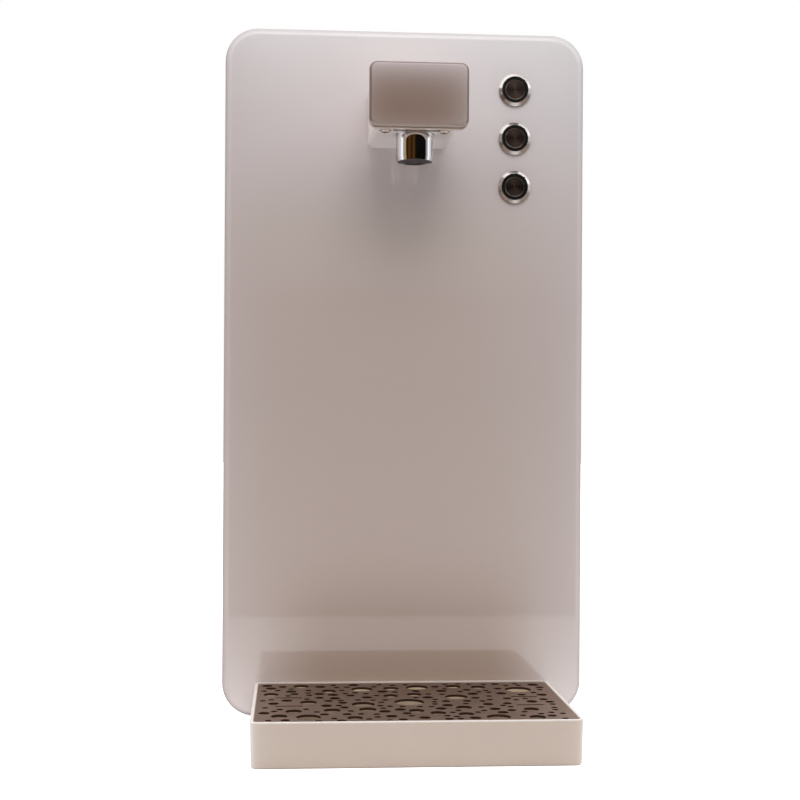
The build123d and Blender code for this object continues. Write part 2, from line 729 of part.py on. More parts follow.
def rocker_frame(x):
    """Bezel and body of one rocker switch."""
    mouth = casing_back + 2.0
    solid = plate_y(15.4, 22, 1.5, x, rocker_z, casing_back, mouth)
    body_width, body_height = (size - 0.2 for size in rocker_cut)
    solid += plate_y(body_width, body_height, 0.7, x, rocker_z, mouth - 18, casing_back + 0.5)
    half_width = rocker_width / 2 + fit_gap
    half_height = rocker_half + fit_gap
    depth = 11.5
    high = (x + half_width, mouth + 1, rocker_z + half_height)
    solid -= block((x - half_width, mouth - depth, rocker_z - half_height), high)
    pin_end = rocker_pin_reach + 0.1
    solid -= rod_x(rocker_pin_radius + 0.06, rocker_pivot_y, rocker_z, x - pin_end, x + pin_end)
    for dz in (-5, 5):
        solid += Pos(x, mouth - 21, rocker_z + dz) * Box(4.8, 8, 0.8)
    return solid


def rocker(x):
    """Rocker key on two pins, a slice of a drum with a shallow V in its face, tilted to its off side."""
    outline = Polygon((-12, -1.5), (12, -1.5), (12, 5.2), (0, 2.9), (-12, 5.2), align=None)
    outline = outline & Circle(rocker_half)
    # The sketch's first axis is the key's height and its second points out of the back.
    plane = Plane(origin=(-rocker_width / 2, 0, 0), x_dir=(0, 0, -1), z_dir=(1, 0, 0))
    solid = extrude(plane * outline, amount=rocker_width)
    solid += rod_x(rocker_pin_radius, 0, 0, -rocker_pin_reach, rocker_pin_reach)
    solid = Rot(rocker_rest_tilt, 0, 0) * solid
    return Pos(x, rocker_pivot_y, rocker_z) * solid


parts["inlet_fitting"] = inlet_fitting()
parts["drain_fitting"] = drain_fitting()
parts["drain_cap"] = drain_cap()
parts["power_inlet"] = power_inlet()
parts["rocker_frames"] = group(rocker_frame(x) for x in rocker_xs.values())
for name, x in rocker_xs.items():
    parts[f"rocker_{name}"] = rocker(x)

# ---------------------------------------------------------------- cold tank and its cooler
fan_depth = 25.0
fan_front = cover_inner - fan_depth
sink_depth = 34.0
sink_front = fan_front - sink_depth
cooler_thick = 4.0
cold_back = sink_front - cooler_thick
cold_depth = 80.0
cold_front = cold_back - cold_depth
cold_half = 48.0
cold_low = 60.0
cold_high = 210.0
tank_wall = 1.5
foam = 10.0
cold_mid_y = (cold_front + cold_back) / 2
cold_inlet = (-14.0, 20.0)
cold_outlet = (-34.0, 22.0)
port_height = 18.0


def port_z(solid, x, y, z0, z1):
    """Add a hose stub that stands between two heights, open right through."""
    solid = solid + rod_z(tube_radius, x, y, z0, z1)
    return solid - rod_z(tube_bore, x, y, z0 - 4, z1 + 1)


def cold_tank():
    """Flat-sided stainless tank with two stubs on top and a drain stub below."""
    height = cold_high - cold_low
    mid_z = (cold_high + cold_low) / 2
    outer = Pos(fan_x, cold_mid_y, mid_z) * Box(2 * cold_half, cold_depth, height)
    outer = fillet(outer.edges().filter_by(Axis.Z), 8)
    hollow = [size - 2 * tank_wall for size in (2 * cold_half, cold_depth, height)]
    inner = Pos(fan_x, cold_mid_y, mid_z) * Box(*hollow)
    inner = fillet(inner.edges().filter_by(Axis.Z), 6.5)
    solid = outer - inner
    for x, y in (cold_inlet, cold_outlet):
        solid = port_z(solid, x, y, cold_high - tank_wall, cold_high + port_height)
    solid += rod_z(tube_radius, drain_x, cold_mid_y, cold_low - 14, cold_low + tank_wall)
    return solid - rod_z(tube_bore, drain_x, cold_mid_y, cold_low - 15, cold_low + 4)


def cold_tank_jacket():
    """Foam box round the cold tank, with a window for the cooler and holes for the stubs."""
    back = cold_back + cooler_thick
    half = cold_half + foam
    solid = block((fan_x - half, cold_front - foam, cold_low - foam), (fan_x + half, back, cold_high + foam))
    height = cold_high - cold_low
    tank = Pos(fan_x, cold_mid_y, cold_low + height / 2) * Box(2 * cold_half, cold_depth, height)
    solid -= fillet(tank.edges().filter_by(Axis.Z), 8)
    solid -= block((fan_x - 20.5, cold_back - 1, fan_z - 20.5), (fan_x + 20.5, back + 1, fan_z + 20.5))
    for x, y in (cold_inlet, cold_outlet):
        solid -= rod_z(tube_radius + 0.3, x, y, cold_high - 1, cold_high + foam + 1)
    return solid - rod_z(tube_radius + 0.3, drain_x, cold_mid_y, cold_low - foam - 1, cold_low + 1)


def peltier_module():
    """Thermoelectric cooler between the tank and the heat sink."""
    return block((fan_x - 20, cold_back, fan_z - 20), (fan_x + 20, sink_front, fan_z + 20))


def heat_sink():
    """Finned aluminium heat sink, its fins upright."""
    half = 45.0
    base = 5.0
    fins = 13
    fin_thick = 1.6
    solid = block((fan_x - half, sink_front, fan_z - half), (fan_x + half, sink_front + base, fan_z + half))
    step = (2 * half - fin_thick) / (fins - 1)
    for k in range(fins):
        x = fan_x - half + k * step
        solid += block((x, sink_front + base - 0.5, fan_z - half), (x + fin_thick, fan_front, fan_z + half))
    return solid


hub_radius = 18.0
shaft_radius = 1.5


def fan_frame():
    """Square fan frame with a round duct, a hub plate on four arms and a shaft bush."""
    solid = plate_y(fan_side, fan_side, 5, fan_x, fan_z, fan_front, cover_inner)
    solid -= rod_y(fan_bore, fan_x, fan_z, fan_front - 1, cover_inner + 1)
    for dx in (-41.25, 41.25):
        for dz in (-41.25, 41.25):
            solid -= rod_y(2.15, fan_x + dx, fan_z + dz, fan_front - 1, cover_inner + 1)
    arm_back = fan_front + 3.0
    hub = rod_y(hub_radius, fan_x, fan_z, fan_front, arm_back)
    for turn in (45, 135):
        hub += Pos(fan_x, (fan_front + arm_back) / 2, fan_z) * Rot(0, turn, 0) * Box(2 * fan_bore + 1, 3.0, 4.0)
    hub += rod_y(4.0, fan_x, fan_z, fan_front, fan_front + 12)
    hub -= rod_y(shaft_radius + 0.05, fan_x, fan_z, fan_front + 1.5, fan_front + 13)
    return solid + hub


def fan_rotor():
    """Cup-shaped hub on a shaft, with seven pitched blades."""
    front = fan_front + 4.0
    back = cover_inner - 3.0
    solid = rod_y(hub_radius, fan_x, fan_z, front, back)
    solid -= rod_y(hub_radius - 1.5, fan_x, fan_z, front - 1, back - 1.5)
    solid += rod_y(shaft_radius, fan_x, fan_z, fan_front + 2, back - 1)
    blades = 7
    pitch_angle = 38.0
    for k in range(blades):
        blade = Pos(29.0, 0, 0) * Rot(pitch_angle, 0, 0) * Box(24.0, 1.5, 22.0)
        solid += Pos(fan_x, (front + back) / 2, fan_z) * Rot(0, 360 * k / blades, 0) * blade
    return solid & rod_y(fan_bore - 1.5, fan_x, fan_z, front - 2, back)


parts["cold_tank"] = cold_tank()
parts["cold_tank_jacket"] = cold_tank_jacket()
parts["peltier_module"] = peltier_module()
parts["heat_sink"] = heat_sink()
parts["fan_frame"] = fan_frame()
parts["fan_rotor"] = fan_rotor()

# ---------------------------------------------------------------- hot tank
hot_x = -58.0
hot_y = 66.0
hot_radius = 40.0
hot_low = 255.0
hot_high = 385.0
hot_feed_z = 302.0


def hot_tank():
    """Round stainless tank with a side feed, a top outlet and a flange for the heater."""
    solid = rod_z(hot_radius, hot_x, hot_y, hot_low, hot_high)
    solid = fillet(solid.edges(), 5)
    solid -= rod_z(hot_radius - tank_wall, hot_x, hot_y, hot_low + tank_wall, hot_high - tank_wall)
    solid -= rod_z(22, hot_x, hot_y, hot_low - 1, hot_low + tank_wall + 1)
    solid += rod_x(tube_radius, hot_y, hot_feed_z, hot_x + hot_radius - 3, -2)
    solid -= rod_x(tube_bore, hot_y, hot_feed_z, hot_x + hot_radius - 5, -1)
    return port_z(solid, hot_x, hot_y, hot_high - tank_wall, hot_high + 10)


def hot_tank_jacket():
    """Felt sleeve round the hot tank."""
    solid = rod_z(hot_radius + foam, hot_x, hot_y, hot_low, hot_high)
    solid -= rod_z(hot_radius, hot_x, hot_y, hot_low - 1, hot_high + 1)
    return solid - rod_x(tube_radius + 0.3, hot_y, hot_feed_z, hot_x, 0)


def heating_element():
    """Hairpin heater on a round flange, with two terminals underneath."""
    spread = 11.0
    rod = 3.5
    bend_z = hot_high - 40
    solid = rod_z(26, hot_x, hot_y, hot_low - 4, hot_low)
    solid += rod_z(21.5, hot_x, hot_y, hot_low - 0.5, hot_low + tank_wall)
    for side in (-1, 1):
        solid += rod_z(rod, hot_x + side * spread, hot_y, hot_low - 16, bend_z)
    bend = revolve(Pos(spread, 0) * Circle(rod), Axis.Y, 180)
    return solid + Pos(hot_x, hot_y, bend_z) * Rot(90, 0, 0) * bend


def thermostat(dx):
    """Button thermostat with two tags, on top of the tank."""
    x = hot_x + dx
    solid = rod_z(8, x, hot_y, hot_high, hot_high + 6)
    for side in (-1, 1):
        solid += Pos(x + side * 4, hot_y, hot_high + 9.5) * Box(0.8, 6, 9)
    return solid


parts["hot_tank"] = hot_tank()
parts["hot_tank_jacket"] = hot_tank_jacket()
parts["heating_element"] = heating_element()
parts["thermostats"] = group(thermostat(dx) for dx in (-22, 22))

# ---------------------------------------------------------------- pump
pump_y = 20.0
pump_z = fitting_z
pump_left = 20.0
pump_width = 20.0
pump_right = pump_left + pump_width
volute_radius = 24.0
pump_outlet_x = pump_left + pump_width / 2
motor_length = 48.0


def pump_housing():
    """Round pump chamber with an inlet stub on its side, an outlet stub on top and a foot."""
    solid = rod_x(volute_radius, pump_y, pump_z, pump_left, pump_right)
    solid -= rod_x(volute_radius - 4, pump_y, pump_z, pump_left + 3, pump_right - 3)
    solid += rod_x(tube_radius, pump_y, pump_z, pump_left - 8, pump_left + 1)
    solid -= rod_x(tube_bore, pump_y, pump_z, pump_left - 9, pump_left + 4)
    solid -= rod_x(shaft_radius + 0.05, pump_y, pump_z, pump_right - 4, pump_right + 1)
    solid += rod_z(tube_radius, pump_outlet_x, pump_y, pump_z + volute_radius - 2, pump_z + volute_radius + 8)
    solid -= rod_z(tube_bore, pump_outlet_x, pump_y, pump_z + volute_radius - 6, pump_z + volute_radius + 9)
    foot = block((pump_left, pump_y - 20, floor_z), (pump_right, pump_y + 20, pump_z - volute_radius + 4))
    return solid + (foot - rod_x(volute_radius - 2, pump_y, pump_z, pump_left - 1, pump_right + 1))


def pump_impeller():
    """Disc with six vanes on a shaft that reaches into the motor."""
    back = pump_right - 4.5
    solid = rod_x(18, pump_y, pump_z, back - 2, back)
    for k in range(6):
        vane = Pos(0, 0, 11) * Box(6, 1.5, 12)
        solid += Pos(back - 4.5, pump_y, pump_z) * Rot(60 * k, 0, 0) * vane
    return solid + rod_x(shaft_radius, pump_y, pump_z, back - 6, pump_right + 12)


def pump_motor():
    """Motor can bolted to the pump chamber."""
    solid = rod_x(18, pump_y, pump_z, pump_right, pump_right + motor_length)
    solid = fillet(solid.edges().group_by(Axis.X)[-1], 2)
    solid -= rod_x(shaft_radius + 0.05, pump_y, pump_z, pump_right - 1, pump_right + 13)
    foot = block((pump_right + 8, pump_y - 14, floor_z), (pump_right + 40, pump_y + 14, pump_z - 14))
    return solid + (foot - rod_x(17, pump_y, pump_z, pump_right, pump_right + motor_length))


parts["pump_housing"] = pump_housing()
parts["pump_impeller"] = pump_impeller()
parts["pump_motor"] = pump_motor()

# ---------------------------------------------------------------- valves
manifold_low = 290.0
manifold_high = 314.0
manifold_mid_z = (manifold_low + manifold_high) / 2
manifold_left = 17.0
manifold_right = 103.0
manifold_half = 12.0
valve_xs = [30.0, 60.0, 90.0]
plunger_radius = 4.0
coil_height = 34.0


def valve_manifold():
    """Block with one seat for each valve and three hose stubs, on a bracket from the frame."""
    front = pump_y - manifold_half
    back = pump_y + manifold_half
    solid = block((manifold_left, front, manifold_low), (manifold_right, back, manifold_high))
    for x in valve_xs:
        solid -= rod_z(plunger_radius + 0.08, x, pump_y, manifold_mid_z + 3, manifold_high + 1)
    solid += rod_x(tube_radius, pump_y, manifold_mid_z, manifold_left - 6, manifold_left + 1)
    solid += rod_z(tube_radius, pump_outlet_x, pump_y, manifold_low - 8, manifold_low + 1)
    solid += rod_y(tube_radius, valve_xs[1], manifold_mid_z, back - 1, back + 6)
    solid -= rod_x(tube_bore, pump_y, manifold_mid_z, manifold_left - 7, manifold_right - 5)
    solid -= rod_z(tube_bore, pump_outlet_x, pump_y, manifold_low - 9, manifold_mid_z)
    solid -= rod_y(tube_bore, valve_xs[1], manifold_mid_z, pump_y, back + 7)
    for x in (40, 80):
        solid += block((x - 6, frame_back, manifold_low + 4), (x + 6, front + 1, manifold_low + 7))
    return solid


def valve_coil(x):
    """Square coil with the plunger's guide bore."""
    solid = plate_z(26, 26, 2, x, pump_y, manifold_high, manifold_high + coil_height)
    solid -= rod_z(plunger_radius + 0.08, x, pump_y, manifold_high - 1, manifold_high + coil_height - 4)
    return solid


def valve_plunger(x):
    """Iron plunger that closes on its seat and lifts when the coil is on."""
    seat = manifold_mid_z + 3.05
    solid = rod_z(plunger_radius, x, pump_y, seat, manifold_high + coil_height - 8)
    return chamfer(solid.edges(), 0.6)


parts["valve_manifold"] = valve_manifold()
parts["valve_coils"] = group(valve_coil(x) for x in valve_xs)
for number, x in enumerate(valve_xs, start=1):
    parts[f"valve_plunger_{number}"] = valve_plunger(x)

# ---------------------------------------------------------------- electronics
board_x = 108.0
supply_low = 122.0
supply_high = 248.0
supply_left = 72.0
supply_front = 26.0
supply_back = 118.0


def power_supply():
    """Vented metal box on the right-hand wall."""
    low = (supply_left, supply_front, supply_low)
    high = (inner_half, supply_back, supply_high)
    gauge = 1.5
    solid = block(low, high) - block([c + gauge for c in low], [c - gauge for c in high])
    for row in range(8):
        z = supply_low + 20 + row * 12
        solid -= block((supply_left - 1, supply_front + 20, z), (supply_left + 3, supply_back - 20, z + 4))
    return solid


def control_board():
    """Circuit board on four posts, with relays, a chip and capacitors."""
    low_y, high_y = 42.0, 138.0
    low_z, high_z = 264.0, 400.0
    solid = block((board_x, low_y, low_z), (board_x + 1.6, high_y, high_z))
    for y in (low_y + 6, high_y - 6):
        for z in (low_z + 6, high_z - 6):
            solid += rod_x(3, y, z, board_x + 1, inner_half)
    for k in range(3):
        z = low_z + 26 + 24 * k
        solid += block((board_x - 15, low_y + 14, z - 9), (board_x + 0.5, low_y + 30, z + 9))
    solid += block((board_x - 3, high_y - 44, 330), (board_x + 0.5, high_y - 28, 346))
    for k in range(4):
        solid += rod_x(5, high_y - 20, low_z + 24 + 16 * k, board_x - 14, board_x + 0.5)
    for k in range(4):
        y = low_y + 12 + 18 * k
        solid += block((board_x - 9, y, high_z - 24), (board_x + 0.5, y + 14, high_z - 14))
    return solid


parts["power_supply"] = power_supply()
parts["control_board"] = control_board()

# ---------------------------------------------------------------- hoses and wires


def hose(points, corner_radii, radius, bore):
    """Round hose along straight runs joined by arcs; bore 0 makes it solid."""
    if corner_radii:
        path = FilletPolyline(*points, radius=corner_radii)
    else:
        path = Line(*points)
    start = Plane(origin=path @ 0, z_dir=path % 0)
    section = Circle(radius)
    if bore:
        section = section - Circle(bore)
    return sweep(start * section, path=path)


manifold_port_y = pump_y + manifold_half + 6
tee_y = elbow_tail - 10
crossing_z = 256.0          # height at which the cold hose crosses to the tank
hose_routes = [
    ([(inlet_x, fitting_tail, fitting_z), (inlet_x, pump_y, fitting_z), (pump_left - 8, pump_y, fitting_z)],
     [28]),
    ([(pump_outlet_x, pump_y, pump_z + volute_radius + 8), (pump_outlet_x, pump_y, manifold_low - 8)], []),
    ([(manifold_left - 6, pump_y, manifold_mid_z), (cold_inlet[0], pump_y, manifold_mid_z),
      (cold_inlet[0], cold_inlet[1], cold_high + port_height)], [18]),
    ([(valve_xs[1], manifold_port_y, manifold_mid_z), (valve_xs[1], hot_y, manifold_mid_z),
      (-2, hot_y, hot_feed_z)], [22]),
    ([(hot_x, hot_y, hot_high + 10), (hot_x, hot_y, spout_z), (spout_x, hot_y, spout_z),
      (spout_x, elbow_tail + 8, spout_z)], [20, 24]),
    ([(spout_x, tee_y, spout_z - 18), (spout_x, tee_y, crossing_z), (*cold_outlet, crossing_z),
      (*cold_outlet, cold_high + port_height)], [16, 16]),
    ([(drain_x, fitting_tail, fitting_z), (drain_x, cold_mid_y, fitting_z),
      (drain_x, cold_mid_y, cold_low - 14)], [5]),
]

wire_radius = 2.5
wire_bend = 10.0
inlet_tags_y = casing_back - 28
switch_tags_y = barrel_back + 15.3
riser_x = power_x + 15
riser_y = casing_back - 50
supply_x = supply_left + 14
wire_routes = [
    [(power_x, inlet_tags_y, power_z), (power_x, riser_y, power_z), (riser_x, riser_y, power_z + 24),
     (riser_x, riser_y, supply_low)],
    [(supply_x, 84, supply_high), (supply_x, 84, 284), (board_x - 10, 86, 306), (board_x - 4, 86, 330)],
    [(board_x - 12, 61, 381), (84, 34, 392), (button_x, 8, button_zs[1]),
     (button_x, switch_tags_y, button_zs[1])],
]

parts["water_hoses"] = group(hose(points, radii, tube_radius, tube_bore) for points, radii in hose_routes)
parts["wiring_loom"] = group(hose(points, [wire_bend, wire_bend], wire_radius, 0) for points in wire_routes)

# ---------------------------------------------------------------- write every part
os.makedirs("parts", exist_ok=True)
for name, shape in parts.items():
    export_step(shape, f"parts/{name}.step")
print(len(parts), "parts")
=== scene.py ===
import bpy
import math
from mathutils import Matrix, Vector


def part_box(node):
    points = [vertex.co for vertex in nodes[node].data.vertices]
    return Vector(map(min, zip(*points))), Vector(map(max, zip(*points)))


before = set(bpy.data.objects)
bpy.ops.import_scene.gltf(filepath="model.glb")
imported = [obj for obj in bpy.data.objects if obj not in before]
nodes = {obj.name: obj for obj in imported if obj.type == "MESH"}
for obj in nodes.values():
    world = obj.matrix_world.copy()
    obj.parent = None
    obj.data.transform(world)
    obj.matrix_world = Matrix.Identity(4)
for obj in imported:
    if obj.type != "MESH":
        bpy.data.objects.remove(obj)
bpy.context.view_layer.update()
scene = bpy.context.scene
scene.view_settings.view_transform = "Standard"

X, Y, Z = 0, 1, 2                       # the axes, and the sockets of a split vector
MIX_A, MIX_B, MIX_RESULT = 6, 7, 2      # the colour sockets of a mix node
# light from above: sine of its height over the horizon, and how bright it is there
SKY = [(0.28, 0.0), (0.42, 1.35), (0.62, 1.05), (1.0, 0.75)]
DAYLIGHT = (1.0, 1.0, 1.02)
FLOOR_REACH = 6.0                       # the floor runs this far to both sides and to the back
FLOOR_FRONT = 0.512                     # and ends this far before the front plate
FLOOR_PALE = 0.22                       # it is at its palest this far before the plate
LIGHT_AHEAD, LIGHT_HEIGHT, LIGHT_SIZE, LIGHT_WATTS = 0.70, 1.25, 0.5, 4
panel_low, panel_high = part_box("front_panel")
tray_low, tray_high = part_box("drip_tray")
face_y = panel_low.y


# ---------------------------------------------------------------- camera
def make_camera():
    """A camera a little left of the middle and at mid height, turned slightly to the right."""
    distance = 0.9439
    side = -0.0775
    height = 0.2081
    yaw = math.radians(3.99)
    pitch = math.radians(0.14)
    roll = math.radians(0.33)
    ahead = Vector((math.sin(yaw) * math.cos(pitch), math.cos(yaw) * math.cos(pitch), math.sin(pitch)))
    level = Vector((math.cos(yaw), -math.sin(yaw), 0))
    above = level.cross(ahead)
    right = level * math.cos(roll) + above * math.sin(roll)
    up = above * math.cos(roll) - level * math.sin(roll)
    data = bpy.data.cameras.new("camera")
    data.sensor_width = 36
    data.lens = 61.15
    data.shift_x = 0.0153
    data.shift_y = 0.0240
    data.clip_start = 0.01
    camera = bpy.data.objects.new("camera", data)
    scene.collection.objects.link(camera)
    turn = Matrix((right, up, -ahead)).transposed()
    camera.matrix_world = Matrix.Translation((side, face_y - distance, height)) @ turn.to_4x4()
    scene.camera = camera


# ---------------------------------------------------------------- stage: floor, world and lights
def make_floor():
    """Plain pale worktop; it ends half a metre before the front plate and is darker towards that edge."""
    front_edge = face_y - FLOOR_FRONT
    side = FLOOR_REACH
    mesh = bpy.data.meshes.new("floor")
    corners = [(-side, front_edge, 0), (side, front_edge, 0), (side, side, 0), (-side, side, 0)]
    mesh.from_pydata(corners, [], [(0, 1, 2, 3)])
    floor = bpy.data.objects.new("floor", mesh)
    scene.collection.objects.link(floor)
    material = bpy.data.materials.new("floor")
    material.use_nodes = True
    tree = material.node_tree
    shader = tree.nodes["Principled BSDF"]
    shader.inputs["Roughness"].default_value = 0.7
    shader.inputs["Specular IOR Level"].default_value = 0.1
    split = tree.nodes.new("ShaderNodeSeparateXYZ")
    tree.links.new(tree.nodes.new("ShaderNodeTexCoord").outputs["Object"], split.inputs[0])
    shade = tree.nodes.new("ShaderNodeMapRange")
    shade.inputs["From Min"].default_value = front_edge
    shade.inputs["From Max"].default_value = face_y - FLOOR_PALE
    shade.inputs["To Min"].default_value = 0.40
    shade.inputs["To Max"].default_value = 0.92
    tree.links.new(split.outputs[Y], shade.inputs["Value"])
    tree.links.new(shade.outputs[0], shader.inputs["Base Color"])
    path = tree.nodes.new("ShaderNodeLightPath")
    fill = tree.nodes.new("ShaderNodeMath")
    fill.operation = "MULTIPLY"
    fill.inputs[1].default_value = 0.75
    tree.links.new(path.outputs["Is Camera Ray"], fill.inputs[0])
    shader.inputs["Emission Color"].default_value = (1, 1, 1, 1)
    tree.links.new(fill.outputs[0], shader.inputs["Emission Strength"])
    mesh.materials.append(material)


def make_world():
    """White to the eye; as light it is bright above, beside and behind, and a dim warm room in front."""
    world = bpy.data.worlds.new("world")
    scene.world = world
    world.use_nodes = True
    tree = world.node_tree
    tree.nodes.clear()
    add, link = tree.nodes.new, tree.links.new
    coords = add("ShaderNodeTexCoord")
    split = add("ShaderNodeSeparateXYZ")
    link(coords.outputs["Generated"], split.inputs[0])

    def ramp(source, stops):
        """Colour against one part of the direction, from -1 to 1."""
        node = add("ShaderNodeValToRGB")
        node.color_ramp.interpolation = "EASE"
        shift = add("ShaderNodeMapRange")
        shift.inputs["From Min"].default_value = -1
        shift.inputs["From Max"].default_value = 1
        link(source, shift.inputs["Value"])
        link(shift.outputs[0], node.inputs[0])
        elements = node.color_ramp.elements
        while len(elements) < len(stops):
            elements.new(0.5)
        for element, (place, colour) in zip(elements, stops):
            element.position = (place + 1) / 2
            element.color = (*colour, 1)
        return node.outputs[0]

    black = (0.004, 0.003, 0.003)
    brown = (0.075, 0.032, 0.008)
    umber = (0.022, 0.010, 0.004)
    gold = (0.55, 0.30, 0.09)
    room = ramp(split.outputs["X"], [
        (-1.0, umber), (-0.94, umber), (-0.89, gold), (-0.83, umber), (-0.60, brown), (-0.40, umber),
        (-0.20, brown), (-0.02, umber), (0.10, black), (1.0, black)])
    only_room, only_walls = (0, 0, 0), (1, 1, 1)
    share_of_walls = ramp(split.outputs["Y"], [
        (-1.0, only_room), (-0.42, only_room), (-0.30, only_walls), (1.0, only_walls)])
    grey = (0.36, 0.33, 0.31)
    white = (1.0, 1.0, 1.03)
    pale = (0.62, 0.62, 0.64)
    walls = ramp(split.outputs["Y"], [
        (-1.0, grey), (-0.17, grey), (-0.09, white), (0.10, white), (0.25, pale), (1.0, pale)])
    front_to_back = add("ShaderNodeMix")
    front_to_back.data_type = "RGBA"
    link(share_of_walls, front_to_back.inputs["Factor"])
    link(room, front_to_back.inputs[MIX_A])
    link(walls, front_to_back.inputs[MIX_B])
    height = ramp(split.outputs["Z"], [(level, [glow * part for part in DAYLIGHT]) for level, glow in SKY])
    mix = add("ShaderNodeMix")
    mix.data_type = "RGBA"
    mix.blend_type = "ADD"
    mix.inputs["Factor"].default_value = 1
    link(front_to_back.outputs[MIX_RESULT], mix.inputs[MIX_A])
    link(height, mix.inputs[MIX_B])
    lit = add("ShaderNodeBackground")
    link(mix.outputs[MIX_RESULT], lit.inputs["Color"])
    seen = add("ShaderNodeBackground")
    seen.inputs["Color"].default_value = (1, 1, 1, 1)
    path = add("ShaderNodeLightPath")
    choose = add("ShaderNodeMixShader")
    link(path.outputs["Is Camera Ray"], choose.inputs[0])
    link(lit.outputs[0], choose.inputs[1])
    link(seen.outputs[0], choose.inputs[2])
    out = add("ShaderNodeOutputWorld")
    link(choose.outputs[0], out.inputs[0])


def area_light(name, place, target, size, energy):
    """Square soft light at a place, aimed at a target."""
    data = bpy.data.lights.new(name, "AREA")
    data.shape = "RECTANGLE"
    data.size = data.size_y = size
    data.energy = energy
    light = bpy.data.objects.new(name, data)
    scene.collection.objects.link(light)
    aim = (Vector(target) - Vector(place)).to_track_quat("-Z", "Y")
    light.matrix_world = Matrix.Translation(place) @ aim.to_matrix().to_4x4()


def make_lights():
    """One soft box high in front, which gives the soft shadow under the spout."""
    place = (0.06, face_y - LIGHT_AHEAD, LIGHT_HEIGHT)
    target = (0, face_y, 0.30)
    area_light("light_key", place, target, LIGHT_SIZE, LIGHT_WATTS)


